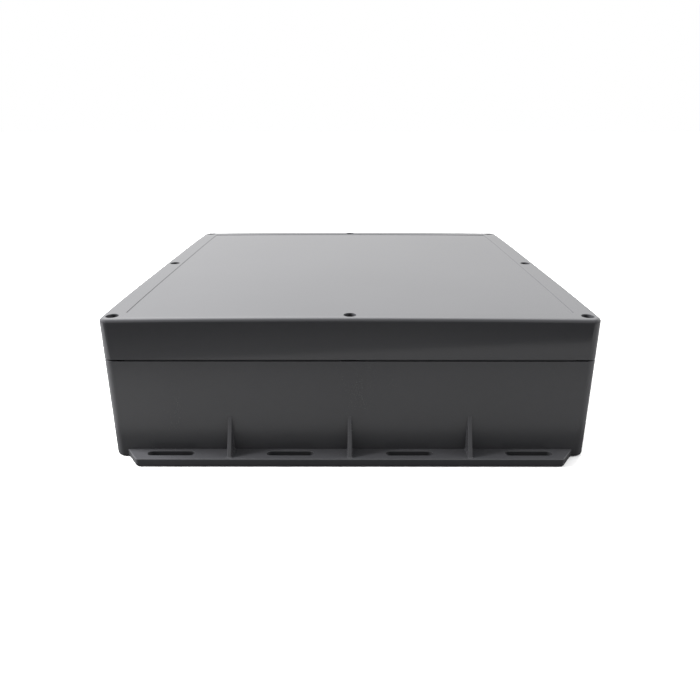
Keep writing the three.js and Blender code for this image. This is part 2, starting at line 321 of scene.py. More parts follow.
def copy_turned_round(part):
    """A copy of a front part at the back."""
    made = part.copy()
    made.data = part.data.copy()
    made.data.transform(Matrix.Rotation(math.pi, 4, "Z"))
    bpy.context.scene.collection.objects.link(made)
    return made


def soften(part, sharp_degrees=SHARP_MOULDED):
    """Smooth shading that keeps sharp edges and flat faces."""
    edges = bmesh.new()
    edges.from_mesh(part.data)
    bmesh.ops.remove_doubles(edges, verts=edges.verts, dist=SAME_POINT)
    limit = math.radians(sharp_degrees)
    for face in edges.faces:
        face.smooth = True
    for edge in edges.edges:
        edge.smooth = len(edge.link_faces) == 2 and edge.calc_face_angle(0) < limit
    edges.to_mesh(part.data)
    edges.free()
    weighted = part.modifiers.new("flat_faces", "WEIGHTED_NORMAL")
    weighted.keep_sharp = True
    return part


# ---------------------------------------------------------------- the line the gasket follows
def seal_outline(inset):
    """The gasket's line moved inwards by inset. It passes on the inner side of every screw."""
    edge = HALF - SEAL_LINE - inset
    reach = SEAL_ROUND_SCREW + inset
    top = SCREW_OFF_CENTRE - reach
    turn = SEAL_TURN - inset
    corners = []
    for quarter in range(4):
        rotation = Matrix.Rotation(quarter * math.pi / 2, 2)
        for x, y, radius in (
            (-top, -edge, turn),
            (-reach, -edge, turn),
            (-reach, -top, reach),
            (reach, -top, reach),
            (reach, -edge, turn),
            (top, -edge, turn),
            (top, -top, reach),
        ):
            corners.append((*(rotation @ Vector((x, y))), radius))
    return rounded_outline(corners)


def seal_ring(name, section):
    """A ring along the gasket's line, with a closed section of (inset, height) points."""
    return loft(name, [lifted(seal_outline(inset), z) for inset, z in section], closed=True)


def seal_space(name, profile):
    """The space inside the gasket's line, through (inset, height) levels."""
    return loft(name, [lifted(seal_outline(inset), z) for inset, z in profile])


# ---------------------------------------------------------------- base
def round_over(radius, z_edge, rising):
    """(inset, height) points of a rounded outside edge. A rising one starts at the underside."""
    points = []
    for x, y in arc(0, 90, EDGE_STEPS):
        if rising:
            points.insert(0, (radius * (1 - x), z_edge + radius * (1 - y)))
        else:
            points.append((radius * (1 - x), z_edge - radius * (1 - y)))
    return points


def flange_solid():
    """The front mounting flange, with a rounded rim."""

    def outline(inset):
        slope = (FLANGE_HALF_AT_WALL - FLANGE_HALF_AT_EDGE) / FLANGE_DEPTH
        slant = math.hypot(1, slope)
        inside = -HALF + SKIN
        edge = -HALF - FLANGE_DEPTH + inset

        def half_length(y):
            return FLANGE_HALF_AT_EDGE + slope * (y + HALF + FLANGE_DEPTH) - inset * slant

        corner = FLANGE_CORNER_RADIUS - inset
        return rounded_outline(
            [
                (-half_length(edge), edge, corner),
                (half_length(edge), edge, corner),
                (half_length(inside), inside, 0),
                (-half_length(inside), inside, 0),
            ]
        )

    profile = round_over(FLANGE_FOOT_RADIUS, 0, rising=True)
    profile += round_over(FLANGE_EDGE_RADIUS, FLANGE_THICKNESS, rising=False)
    return loft("flange", [lifted(outline(inset), z) for inset, z in profile])


def slot_cutter(centre):
    """A slot with round ends, opened out a little at both faces of the flange."""

    def outline(offset):
        straight = (SLOT_LENGTH - SLOT_WIDTH) / 2
        radius = SLOT_WIDTH / 2 + offset
        line = -HALF - SLOT_OUT
        points = []
        for end, start_angle in ((straight, -90), (-straight, 90)):
            for x, y in arc(start_angle, start_angle + 180, SLOT_END_STEPS):
                points.append((centre + end + radius * x, line + radius * y))
        return points

    lower = [(SLOT_LIP * (1 - y), SLOT_LIP * (1 - x)) for x, y in arc(0, 90, LIP_STEPS)]
    upper = [(offset, FLANGE_THICKNESS - z) for offset, z in reversed(lower)]
    levels = [(SLOT_LIP, -OVERLAP), *lower, *upper, (SLOT_LIP, FLANGE_THICKNESS + OVERLAP)]
    return loft("slot", [lifted(outline(offset), z) for offset, z in levels])


def gusset_solid(centre):
    """A triangular web with small fillets where it meets the wall and the flange."""
    levels = [FLANGE_THICKNESS - OVERLAP / 2]
    levels += [FLANGE_THICKNESS + GUSSET_FILLET * (1 - x) for x, y in arc(0, 90, LIP_STEPS)]
    foot = levels[-1]
    for step in range(1, GUSSET_STEPS + 1):
        levels.append(foot + (GUSSET_TOP - foot) * step / GUSSET_STEPS)

    rings = []
    for z in levels:
        share = (GUSSET_TOP - z) / (GUSSET_TOP - FLANGE_THICKNESS)
        reach = max(GUSSET_REACH * share, GUSSET_TIP_REACH)
        near_flange = max(0.0, min(1.0, 1 - (z - FLANGE_THICKNESS) / GUSSET_FILLET))
        spread = GUSSET_FILLET * (1 - math.sqrt(1 - near_flange**2))
        half = GUSSET_THICKNESS / 2 * (1 - GUSSET_DRAFT * (1 - share)) + spread
        wide = half + 2 * GUSSET_FILLET
        tip = reach + spread / 2
        fillet = min(GUSSET_FILLET, reach / 3)
        rounding = min(GUSSET_EDGE_RADIUS, reach / 3)
        outline = rounded_outline(
            [
                (-OVERLAP, -wide, 0),
                (-GUSSET_SINK, -wide, 0),
                (-GUSSET_SINK, -half, fillet),
                (tip, -half, rounding),
                (tip, half, rounding),
                (-GUSSET_SINK, half, fillet),
                (-GUSSET_SINK, wide, 0),
                (-OVERLAP, wide, 0),
            ]
        )
        rings.append([Vector((centre + across, -HALF - out, z)) for out, across in outline])
    return loft("gusset", rings)


def tongue_solid(root):
    """The ridge on the base's rim that presses on the gasket."""
    half = TONGUE_HALF_WIDTH
    left = [(-half, root), (-half, TONGUE_TOP - CHAMFER), (CHAMFER - half, TONGUE_TOP)]
    right = [(-inset, z) for inset, z in reversed(left)]
    return seal_ring("tongue", left + right)


def pillar_pads(root):
    """Round seats on top of the pillars."""
    profile = [
        (PILLAR_PAD_RADIUS, root),
        (PILLAR_PAD_RADIUS, PILLAR_PAD_TOP - CHAMFER),
        (PILLAR_PAD_RADIUS - CHAMFER, PILLAR_PAD_TOP),
    ]
    return [turned("pad", axis, profile) for axis in SCREW_AXES.values()]


def standoffs():
    """Columns on the floor, with a sloping foot, that the mounting plate stands on."""
    foot = STANDOFF_RADIUS + STANDOFF_FILLET
    profile = [
        (foot, SKIN - OVERLAP),
        (foot, SKIN + STEP),
        (STANDOFF_RADIUS, SKIN + STANDOFF_FILLET),
        (STANDOFF_RADIUS, STANDOFF_TOP - CHAMFER),
        (STANDOFF_RADIUS - CHAMFER, STANDOFF_TOP),
    ]
    return [turned("standoff", axis, profile) for axis in PLATE_AXES.values()]


def pillar_holes():
    """Holes in the pillars: room for a screw's tip, and above it a wider bore for the insert."""
    insert_foot = middle(f"threaded_insert_{LID_SCREWS[0]}").z - CLEARANCE
    profile = [
        (TIP_HOLE_RADIUS, PILLAR_PAD_TOP - PILLAR_HOLE_DEPTH),
        (TIP_HOLE_RADIUS, insert_foot),
        (INSERT_HOLE_RADIUS, insert_foot + STEP),
        (INSERT_HOLE_RADIUS, PILLAR_PAD_TOP - CHAMFER),
        (INSERT_HOLE_RADIUS + CHAMFER, PILLAR_PAD_TOP),
        (INSERT_HOLE_RADIUS + CHAMFER, HEIGHT),
    ]
    return [turned("insert_hole", axis, profile) for axis in SCREW_AXES.values()]


def standoff_holes():
    """Blind holes for the plate's screws."""
    profile = [(STANDOFF_HOLE_RADIUS, SKIN + CLEARANCE), (STANDOFF_HOLE_RADIUS, HEIGHT)]
    return [turned("standoff_hole", axis, profile) for axis in PLATE_AXES.values()]


def enclosure_base():
    """The base moulding: walls, floor, flanges, gussets, pillars and the gasket's tongue."""
    profile = round_over(BASE_EDGE_RADIUS, 0, rising=True)
    profile += round_over(PARTING_RADIUS, BASE_TOP, rising=False)
    rings = []
    for inset, z in profile:
        rings.append(lifted(rounded_square(HALF - inset, CORNER_RADIUS - inset), z))
    shell = loft("enclosure_base_moulding", rings)

    front = [flange_solid(), *[gusset_solid(x) for x in GUSSET_CENTRES]]
    back = [copy_turned_round(part) for part in front]
    combine(shell, front + back, "UNION")

    cavity = seal_space("cavity", [(CAVITY_OFFSET, SKIN), (CAVITY_OFFSET, LID_BOTTOM + OVERLAP)])
    front_slots = [slot_cutter(x) for x in SLOT_CENTRES]
    back_slots = [copy_turned_round(part) for part in front_slots]
    combine(shell, [cavity, merged("slots", front_slots + back_slots)], "DIFFERENCE")

    root = BASE_TOP - OVERLAP
    posts = merged("posts", [*pillar_pads(root), *standoffs()])
    combine(shell, [tongue_solid(root), posts], "UNION")
    combine(shell, [merged("holes", [*pillar_holes(), *standoff_holes()])], "DIFFERENCE")
    return soften(shell)


# ---------------------------------------------------------------- lid
def lid_top(x, y):
    """The height of the lid's rim. It falls towards the corners."""
    return HEIGHT - CROWN * (x / HALF) ** 2 * (y / HALF) ** 4


def lid_skin():
    """The lid's outside as one closed solid: parting edge, wall, rounded rim and recess."""

    def outline(inset):
        corner = max(CORNER_RADIUS - inset, RECESS_RADIUS)
        return rounded_square(HALF - inset, corner, SIDE_STEPS)

    def ring(inset, drop):
        return lifted(outline(inset), lambda x, y: lid_top(x, y) - drop)

    rings = []
    for inset, z in round_over(PARTING_RADIUS, LID_BOTTOM, rising=True):
        rings.append(lifted(outline(inset), z))
    for inset, z in round_over(LID_EDGE_RADIUS, 0, rising=False):
        rings.append(ring(inset, -z))
    for inset in RIM_LINES:
        rings.append(ring(inset, 0))
    edge = RECESS_MARGIN - RECESS_RADIUS
    for x, y in arc(90, 0, RECESS_STEPS):
        rings.append(ring(edge + RECESS_RADIUS * x, RECESS_RADIUS * (1 - y)))
    edge = RECESS_MARGIN + RECESS_RADIUS
    for x, y in arc(180, 270, RECESS_STEPS):
        rings.append(ring(edge + RECESS_RADIUS * x, RECESS_DEPTH - RECESS_RADIUS * (1 + y)))
    for step in range(1, RECESS_FLOOR_STEPS):
        inset = edge + (HALF - edge) * step / RECESS_FLOOR_STEPS
        rings.append(ring(inset, RECESS_DEPTH))
    return loft("enclosure_lid_moulding", rings)


def lid_hollow():
    """The space inside the lid, less its stiffening ribs."""
    profile = [(CAVITY_OFFSET, LID_BOTTOM - OVERLAP), (CAVITY_OFFSET, LID_CEILING)]
    hollow = seal_space("hollow", profile)
    ribs = []
    for centre in RIB_CENTRES:
        near = centre - RIB_THICKNESS / 2
        far = centre + RIB_THICKNESS / 2
        along = [(-HALF, near), (HALF, near), (HALF, far), (-HALF, far)]
        across = [(y, -x) for x, y in along]
        for outline in (along, across):
            levels = (LID_CEILING - RIB_DEPTH, LID_CEILING + OVERLAP)
            ribs.append(loft("rib", [lifted(outline, z) for z in levels]))
    return combine(hollow, ribs, "DIFFERENCE")


def gasket_groove():
    """The groove in the lid's rim that the gasket lies in."""
    half = GROOVE_HALF_WIDTH
    mouth = LID_BOTTOM - OVERLAP
    section = [(-half, mouth), (-half, GROOVE_TOP), (half, GROOVE_TOP), (half, mouth)]
    return seal_ring("groove", section)


def screw_hole(axis):
    """A clear hole for a screw and, above it, a counterbore with a rolled lip."""
    mouth = lid_top(axis.x, axis.y)
    profile = [
        (CLEAR_HOLE_RADIUS, LID_BOTTOM - OVERLAP),
        (CLEAR_HOLE_RADIUS, COUNTERBORE_FLOOR),
        (COUNTERBORE_RADIUS, COUNTERBORE_FLOOR + STEP),
    ]
    for x, y in arc(0, 90, EDGE_STEPS):
        radius = COUNTERBORE_RADIUS + COUNTERBORE_LIP * (1 - x)
        profile.append((radius, mouth - COUNTERBORE_LIP * (1 - y)))
    profile.append((COUNTERBORE_RADIUS + COUNTERBORE_LIP, mouth + OVERLAP))
    return turned("hole", axis, profile)


def enclosure_lid():
    """The lid moulding."""
    skin = lid_skin()
    holes = [screw_hole(axis) for axis in SCREW_AXES.values()]
    combine(skin, [lid_hollow(), gasket_groove(), merged("holes", holes)], "DIFFERENCE")
    return soften(skin)


def lid_gasket():
    """The soft ring in the lid's groove, with a rounded section."""
    centre = (gasket_low.z + gasket_high.z) / 2
    half_height = (gasket_high.z - gasket_low.z) / 2
    section = []
    for x, y in arc(180, -180, GASKET_STEPS)[:-1]:
        inset = math.copysign(abs(x) ** GASKET_FULLNESS, x) * GASKET_HALF_WIDTH
        lift = math.copysign(abs(y) ** GASKET_FULLNESS, y) * half_height
        section.append((inset, centre + lift))
    return soften(seal_ring("lid_gasket_cord", section), SHARP_SOFT)


# ---------------------------------------------------------------- fasteners
# shank and head are the shank's radius and the head's height as shares of the head's radius
SCREW_PITCH = 0.8 * MM
LID_SCREW = {"pitch": SCREW_PITCH, "shank": 2.35 / 4.3, "head": 0.74}
PLATE_SCREW = {"pitch": 1.4 * MM, "shank": 1.85 / 3.8, "head": 0.68}

THREAD_DEPTH = 0.45  # share of the pitch
THREAD_RISE = 0.05 * MM  # how far the crests stand out from the shank
THREAD_TIP = 0.6  # share of the shank's radius that is left at its tip
THREAD_STEPS = 36
LEVELS_PER_TURN = 6

HEAD_EDGE = 0.15 * MM
HEAD_FLANK = 0.42  # share of the head's height below its dome
DOME_TURN = 84  # degrees
DOME_STEPS = 10

DRIVE_DEPTH = 0.62  # share of the head's height
DRIVE_LENGTH = 0.6  # half an arm's length, as a share of the head's radius
DRIVE_THICKNESS = 0.13  # half an arm's thickness, likewise
DRIVE_FOOT = (0.55, 0.73)  # shares of an arm's length and thickness that are left at its foot
DRIVE_ABOVE = 0.2 * MM

INSERT_WALL = 0.75 * MM
INSERT_THREAD_ROOT = 0.1 * MM  # how far the thread's roots lie outside the bore
INSERT_THREAD_CREST = -0.2 * MM
INSERT_LEVELS = 60
KNURL_TEETH = 28
KNURL_DEPTH = 0.16 * MM
KNURL_INSET = 0.02 * MM
KNURL_STEPS = 4  # for each tooth
GROOVE_INSET = 0.4 * MM  # the groove between the knurled bands


def tooth(height, angle, pitch):
    """0 at a thread's crest and 1 at its root, at a height and an angle round it."""
    phase = (height / pitch - angle / FULL_TURN) % 1
    return abs(2 * phase - 1)


def uneven_ring(centre, height, steps, radius_at):
    """A level ring whose radius is a function of the angle."""
    points = []
    for i in range(steps):
        angle = FULL_TURN * i / steps
        radius = radius_at(angle)
        x = centre.x + radius * math.cos(angle)
        y = centre.y + radius * math.sin(angle)
        points.append(Vector((x, y, height)))
    return points


def cross_recess(centre, top, head_radius, head_height):
    """A tapered cross that cuts a screw head's drive."""
    foot = (*DRIVE_FOOT, top - head_height * DRIVE_DEPTH)
    mouth = (1, 1, top + DRIVE_ABOVE)
    arms = []
    for turn in (0, math.pi / 2):
        rotation = Matrix.Rotation(turn, 2)
        rings = []
        for length_share, thickness_share, z in (foot, mouth):
            long = head_radius * DRIVE_LENGTH * length_share
            thin = head_radius * DRIVE_THICKNESS * thickness_share
            corners = [(-long, -thin), (long, -thin), (long, thin), (-long, thin)]
            outline = [centre.to_2d() + rotation @ Vector(corner) for corner in corners]
            rings.append(lifted(outline, z))
        arms.append(loft("arm", rings))
    return arms


def machine_screw(node, name, pitch, shank, head):
    """A threaded cross-head screw with a domed head, as long and as wide as its CAD node."""
    low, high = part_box(node)
    centre = (low + high) / 2
    head_radius = (high.x - low.x) / 2
    head_height = head_radius * head
    shank_radius = head_radius * shank
    seat = high.z - head_height
    rings = []

    def ring(z, radius_at):
        rings.append(uneven_ring(centre, z, THREAD_STEPS, radius_at))

    def thread_radius(z, angle):
        point = min(1.0, THREAD_TIP + (1 - THREAD_TIP) * (z - low.z) / pitch)
        fade = min(1.0, max(0.0, (seat - z) / pitch - 0.5))
        depth = THREAD_DEPTH * pitch * fade * tooth(z, angle, pitch)
        return point * (shank_radius + THREAD_RISE - depth)

    steps = round((seat - low.z) * LEVELS_PER_TURN / pitch)
    for step in range(steps):
        z = low.z + (seat - low.z) * step / steps
        ring(z, lambda angle: thread_radius(z, angle))
    ring(seat, lambda angle: shank_radius)
    ring(seat, lambda angle: head_radius - HEAD_EDGE)
    ring(seat + HEAD_EDGE, lambda angle: head_radius)
    flank = seat + head_height * HEAD_FLANK
    for x, y in arc(0, DOME_TURN, DOME_STEPS):
        ring(flank + (high.z - flank) * y, lambda angle: head_radius * x)
    screw = loft(name, rings)
    combine(screw, cross_recess(centre, high.z, head_radius, head_height), "DIFFERENCE")
    return soften(screw, SHARP_THREADED)


def o_ring(node, name):
    """A round ring of round cord that fills its CAD node's box."""
    low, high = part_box(node)
    centre = (low + high) / 2
    cord = (high.z - low.z) / 2
    line = (high.x - low.x) / 2 - cord
    rings = []
    for x, y in arc(0, 360, O_RING_STEPS)[:-1]:
        rings.append(lifted(circle(line + cord * x, centre), centre.z + cord * y))
    return soften(loft(name, rings, closed=True), SHARP_SOFT)


def knurled_insert(node, name):
    """A brass insert: two knurled bands with a groove between them, and a thread inside."""
    low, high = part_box(node)
    centre = (low + high) / 2
    outside = (high.x - low.x) / 2
    inside = outside - INSERT_WALL
    knurl = outside - KNURL_INSET
    groove = outside - GROOVE_INSET
    length = high.z - low.z
    steps = KNURL_TEETH * KNURL_STEPS

    def plain(height, angle):
        return 0

    def knurled(height, angle):
        return -KNURL_DEPTH * (0.5 - 0.5 * math.cos(KNURL_TEETH * angle))

    def threaded(height, angle):
        depth = INSERT_THREAD_ROOT - INSERT_THREAD_CREST
        return depth * tooth(height, angle, SCREW_PITCH) + INSERT_THREAD_CREST

    # Points up the outside and then down the thread
    section = [
        (outside - CHAMFER, 0, plain),
        (outside, CHAMFER, plain),
        (knurl, 0.08 * length, knurled),
        (knurl, 0.42 * length, knurled),
        (groove, 0.44 * length, plain),
        (groove, 0.53 * length, plain),
        (knurl, 0.56 * length, knurled),
        (knurl, 0.90 * length, knurled),
        (outside, 0.93 * length, plain),
        (outside, length - CHAMFER, plain),
        (outside - CHAMFER, length, plain),
        (inside + CHAMFER, length, plain),
    ]
    for level in range(INSERT_LEVELS + 1):
        height = length - CHAMFER - (length - 2 * CHAMFER) * level / INSERT_LEVELS
        section.append((inside, height, threaded))
    section.append((inside + CHAMFER, 0, plain))

    rings = []
    for radius, height, surface in section:
        z = low.z + height
        rings.append(uneven_ring(centre, z, steps, lambda angle: radius + surface(height, angle)))
    return soften(loft(name, rings, closed=True), SHARP_THREADED)


def mounting_plate():
    """A sheet steel plate with rounded corners, slightly rounded edges and four holes."""
    profile = round_over(PLATE_EDGE_RADIUS, plate_low.z, rising=True)
    profile += round_over(PLATE_EDGE_RADIUS, plate_high.z, rising=False)
    rings = []
    for inset, z in profile:
        outline = rounded_square(plate_high.x - inset, PLATE_CORNER_RADIUS - inset)
        rings.append(lifted(outline, z))
    sheet = loft("mounting_plate_sheet", rings)
    levels = (plate_low.z - OVERLAP, plate_high.z + OVERLAP)
    profile = [(PLATE_HOLE_RADIUS, z) for z in levels]
    holes = [turned("hole", axis, profile) for axis in PLATE_AXES.values()]
    combine(sheet, [merged("holes", holes)], "DIFFERENCE")
    return soften(sheet)


# ---------------------------------------------------------------- materials
BASE_ROUGHNESS = 0.24  # the base's mould is a little duller than the lid's
LID_ROUGHNESS = 0.07


class Nodes:
    """Shader nodes that are being linked together in one node tree."""

    def __init__(self, tree):
        self.tree = tree

    def node(self, kind, inputs=None, **settings):
        """A new node whose inputs are linked to sockets or set to plain values."""
        made = self.tree.nodes.new(kind)
        for key, value in settings.items():
            setattr(made, key, value)
        for key, value in (inputs or {}).items():
            if isinstance(value, bpy.types.NodeSocket):
                self.tree.links.new(value, made.inputs[key])
            else:
                made.inputs[key].default_value = value
        return made

    def spread(self, value, low, high, to_low, to_high):
        """value from low to high, spread from to_low to to_high."""
        inputs = {"Value": value, "From Min": low, "From Max": high}
        inputs.update({"To Min": to_low, "To Max": to_high})
        return self.node("ShaderNodeMapRange", inputs).outputs["Result"]

    def math(self, operation, a, b):
        """The result of a sum, product or comparison of two numbers."""
        return self.node("ShaderNodeMath", {0: a, 1: b}, operation=operation).outputs[0]

    def blend(self, factor, a, b):
        """Number a where factor is 0 and number b where it is 1."""
        rest = self.math("SUBTRACT", 1.0, factor)
        return self.math("ADD", self.math("MULTIPLY", a, rest), self.math("MULTIPLY", b, factor))

    def dot(self, a, b):
        """The dot product of two directions."""
        made = self.node("ShaderNodeVectorMath", {0: a, 1: b}, operation="DOT_PRODUCT")
        return made.outputs["Value"]

    def mix(self, factor, a, b):
        """Colour a where factor is 0 and colour b where it is 1."""
        made = self.tree.nodes.new("ShaderNodeMix")
        made.data_type = "RGBA"
        for index, value in ((0, factor), (6, a), (7, b)):
            if isinstance(value, bpy.types.NodeSocket):
                self.tree.links.new(value, made.inputs[index])
            else:
                made.inputs[index].default_value = (*value, 1)
        return made.outputs[2]


class Look(Nodes):
    """A procedural material that is being built."""

    def __init__(self, name, plain):
        self.material = bpy.data.materials.new(name)
        self.material.use_nodes = True
        super().__init__(self.material.node_tree)
        self.shader = self.tree.nodes["Principled BSDF"]
        for socket, value in plain.items():
            self.shader.inputs[socket].default_value = value
        self.place = self.tree.nodes.new("ShaderNodeTexCoord").outputs["Object"]

    def noise(self, scale, detail=2.0, roughness=0.5, stretch=(1, 1, 1)):
        """Noise from 0 to 1 with scale lumps to the metre."""
        place = self.node("ShaderNodeMapping", {"Vector": self.place, "Scale": stretch}).outputs[0]
        inputs = {"Vector": place, "Scale": scale, "Detail": detail, "Roughness": roughness}
        return self.node("ShaderNodeTexNoise", inputs).outputs["Fac"]

    def bump(self, height, distance, normal=None):
        """A normal that is tilted by a height from 0 to 1, which stands for a distance."""
        inputs = {"Height": height, "Distance": distance, "Strength": 1.0}
        if normal is not None:
            inputs["Normal"] = normal
        return self.node("ShaderNodeBump", inputs).outputs["Normal"]

    def edges(self, radius):
        """Near 1 on rounded or sharp edges and 0 on flat faces."""
        rounded = self.node("ShaderNodeBevel", {"Radius": radius}, samples=4).outputs["Normal"]
        true = self.node("ShaderNodeNewGeometry").outputs["True Normal"]
        return self.spread(self.dot(rounded, true), 0.99, 0.8, 0.0, 1.0)

    def set(self, **sockets):
        """Links each value to the shader's socket of that name and returns the material."""
        for key, value in sockets.items():
            self.tree.links.new(value, self.shader.inputs[key.replace("_", " ").title()])
        return self.material


def housing_plastic(name, roughness):
    """Dark grey moulded ABS: half gloss, slightly uneven, with a fine grain, and rounded edges
    lightened partly as wear and partly as a painted highlight.
    """
    look = Look(name, {"IOR": 1.5})
    cloud = look.noise(7, detail=4)
    speck = look.noise(1400, detail=2)
    dark = (0.0440, 0.0441, 0.0477)
    light = (0.0470, 0.0471, 0.0509)
    grain = (0.055, 0.057, 0.060)
    # Lighter colour for rounded edges: partly wear, partly a painted highlight.
    wear_and_highlight = (0.080, 0.083, 0.087)
    colour = look.mix(look.spread(cloud, 0.35, 0.65, 0, 1), dark, light)
    colour = look.mix(look.spread(speck, 0.45, 0.75, 0, 0.2), colour, grain)
    colour = look.mix(look.math("MULTIPLY", look.edges(0.7 * MM), 0.3), colour, wear_and_highlight)
    smear = look.noise(16, detail=5, roughness=0.6, stretch=(1, 1, 0.45))
    roughness = look.spread(smear, 0.3, 0.7, 0.9 * roughness, 1.1 * roughness)
    roughness = look.math("ADD", roughness, look.spread(speck, 0.3, 0.7, -0.02, 0.02))
    normal = look.bump(look.noise(6, detail=0), 0.4 * MM)
    normal = look.bump(look.noise(1900, detail=2), 0.008 * MM, normal)
    return look.set(base_color=colour, roughness=roughness, normal=normal)


def seal_rubber():
    """Soft black silicone, matt, with a faint bloom."""
    look = Look("seal_rubber", {"IOR": 1.42})
    bloom = look.noise(120, detail=4)
    black = (0.012, 0.012, 0.013)
    dusty = (0.024, 0.024, 0.025)
    colour = look.mix(look.spread(bloom, 0.35, 0.7, 0, 1), black, dusty)
    roughness = look.spread(bloom, 0.3, 0.7, 0.62, 0.8)
    normal = look.bump(look.noise(2500), 0.02 * MM)
    return look.set(base_color=colour, roughness=roughness, normal=normal)


def stainless_steel():
    """Cold-headed stainless steel with fine drawing lines and a few dull spots."""
    look = Look("stainless_steel", {"Metallic": 1.0})
    lines = look.noise(260, detail=3, stretch=(1, 1, 14))
    spots = look.noise(700, detail=3)
    bright = (0.60, 0.60, 0.60)
    dull = (0.45, 0.455, 0.46)
    colour = look.mix(look.spread(spots, 0.35, 0.7, 0, 1), bright, dull)
    roughness = look.spread(lines, 0.3, 0.7, 0.22, 0.38)
    normal = look.bump(lines, 0.02 * MM)
    return look.set(base_color=colour, roughness=roughness, normal=normal)


def turned_brass():
    """Free-cutting brass with turning lines and slight tarnish."""
    look = Look("turned_brass", {"Metallic": 1.0})
    lines = look.noise(300, detail=3, stretch=(1, 1, 12))
    tarnish = look.noise(450, detail=4)
    bright = (0.68, 0.47, 0.17)
    dull = (0.42, 0.27, 0.09)
    colour = look.mix(look.spread(tarnish, 0.4, 0.75, 0, 1), bright, dull)
    roughness = look.spread(tarnish, 0.3, 0.7, 0.24, 0.42)
    normal = look.bump(lines, 0.02 * MM)
    return look.set(base_color=colour, roughness=roughness, normal=normal)


def galvanised_steel():
    """Galvanised sheet with its grown zinc crystals, each a little lighter or darker."""
    look = Look("galvanised_steel", {"Metallic": 1.0})
    warp = look.noise(90, detail=3)
    place = look.node("ShaderNodeMapping", {"Vector": look.place, "Scale": (1, 1.3, 1)}).outputs[0]
    crystals = look.node("ShaderNodeTexVoronoi", {"Vector": place, "Scale": 95.0})
    shade = look.node("ShaderNodeSeparateColor", {"Color": crystals.outputs["Color"]}).outputs[0]
    tone = look.math("ADD", look.math("MULTIPLY", shade, 0.7), look.math("MULTIPLY", warp, 0.3))
    colour = look.mix(tone, (0.40, 0.415, 0.43), (0.60, 0.615, 0.63))
    roughness = look.spread(tone, 0.0, 1.0, 0.5, 0.32)
    normal = look.bump(look.noise(600, detail=3), 0.03 * MM)
    return look.set(base_color=colour, roughness=roughness, normal=normal)


def studio_board(name, shade):
    """Plain painted board with a barely visible tooth."""
    look = Look(name, {"Roughness": 0.8})
    dark = (0.98 * shade,) * 3
    light = (1.02 * shade,) * 3
    return look.set(base_color=look.mix(look.noise(30, detail=5), dark, light))


# ---------------------------------------------------------------- assembly
BASE_PLASTIC = housing_plastic("base_plastic", BASE_ROUGHNESS)
LID_PLASTIC = housing_plastic("lid_plastic", LID_ROUGHNESS)
RUBBER = seal_rubber()
STAINLESS = stainless_steel()
BRASS = turned_brass()
GALVANISED = galvanised_steel()


def fit(piece, node, material):
    """Dresses a piece, rides it on its CAD node's body and puts it in that node's place."""
    piece.data.materials.clear()
    piece.data.materials.append(material)
    for face in piece.data.polygons:
        face.material_index = 0
    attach(piece, frame["nodes"][node]["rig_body"])
    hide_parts(node)


fit(enclosure_base(), "enclosure_base", BASE_PLASTIC)
fit(enclosure_lid(), "enclosure_lid", LID_PLASTIC)
fit(lid_gasket(), "lid_gasket", RUBBER)
fit(mounting_plate(), "mounting_plate", GALVANISED)

for place in LID_SCREWS:
    node = f"lid_screw_{place}"
    screw = machine_screw(node, f"machine_screw_{place}", **LID_SCREW)
    fit(screw, node, STAINLESS)
    node = f"screw_seal_{place}"
    fit(o_ring(node, f"o_ring_{place}"), node, RUBBER)
    node = f"threaded_insert_{place}"
    fit(knurled_insert(node, f"knurled_insert_{place}"), node, BRASS)

for place in PLATE_SCREWS:
    node = f"plate_screw_{place}"
    screw = machine_screw(node, f"thread_forming_screw_{place}", **PLATE_SCREW)
    fit(screw, node, STAINLESS)


# ---------------------------------------------------------------- floor, light and camera
FLOOR_SIZE = 14
FLOOR_LEVEL = -0.2 * MM
FLOOR_WHITE = 0.85
TABLE_SIZE = 0.9
TABLE_FRONT_LEFT = -0.33
TABLE_FRONT_RIGHT = -0.58
TABLE_LEVEL = -0.4 * MM
TABLE_GREY = 0.23
# Painted shadow: a dark board round the box's foot, seen only by reflections and bounced light. It
# stands in for the box's contact shadow on the ground.
SHADOW_PAD_SIZE = 0.245
SHADOW_PAD_LEVEL = -0.3 * MM
SHADOW_PAD_GREY = 0.06

# How bright the room is in front of the box, behind it, overhead and below the floor line
ROOM_FRONT_LOW = 0.8
ROOM_FRONT = 0.47
ROOM_BACK_LOW = 0.97
ROOM_BACK = 1.5
ROOM_RIGHT = 0.92  # share of the light from behind that is left on the right
ROOM_TOP = 3.1
ROOM_TOP_TOWARDS = (-0.1, 0.45, 0.89)
ROOM_BELOW = 0.03
ROOM_NEAR = 0.47  # the ground close in front, beyond the table

# Where one brightness gives way to the next, as a direction's x, y or z or its cosine to the top
FRONT_RISE = (0.0, 0.25)
BACK_RISE = (0.15, 0.33)
LEFT_TO_RIGHT = (-0.25, 0.25)
FRONT_TO_BACK = (-0.4, 0.4)
WALLS_TO_TOP = (0.7, 0.95)
FAR_TO_NEAR = (-0.29, -0.36)

LAMP_TARGET = (0, 0, 0.05)
LEFT_PLACE = (-1.15, -0.06, 0.85)
LEFT_SIZE = 0.5
LEFT_POWER = 74
RIGHT_PLACE = (1.3, -0.1, 0.8)
RIGHT_SIZE = 0.6
RIGHT_POWER = 16

CAMERA_SENSOR = 36  # millimetres, as is the lens
CAMERA_LENS = 31.83
CAMERA_PLACE = (0.3 * MM, -664.1 * MM, 269.2 * MM)
CAMERA_PITCH = math.radians(20.37)
CAMERA_YAW = math.radians(-0.03)
CAMERA_ROLL = math.radians(0.02)


def add_board(name, size, front_left, front_right, height, shade):
    """A painted board that reaches size to the left, right and back, with its own front edge."""
    front = [(-size, front_left, height), (size, front_right, height)]
    corners = [*front, (size, size, height), (-size, size, height)]
    board = new_object(name, corners, [(0, 1, 2, 3)])
    board.data.materials.append(studio_board(name, shade))
    return board


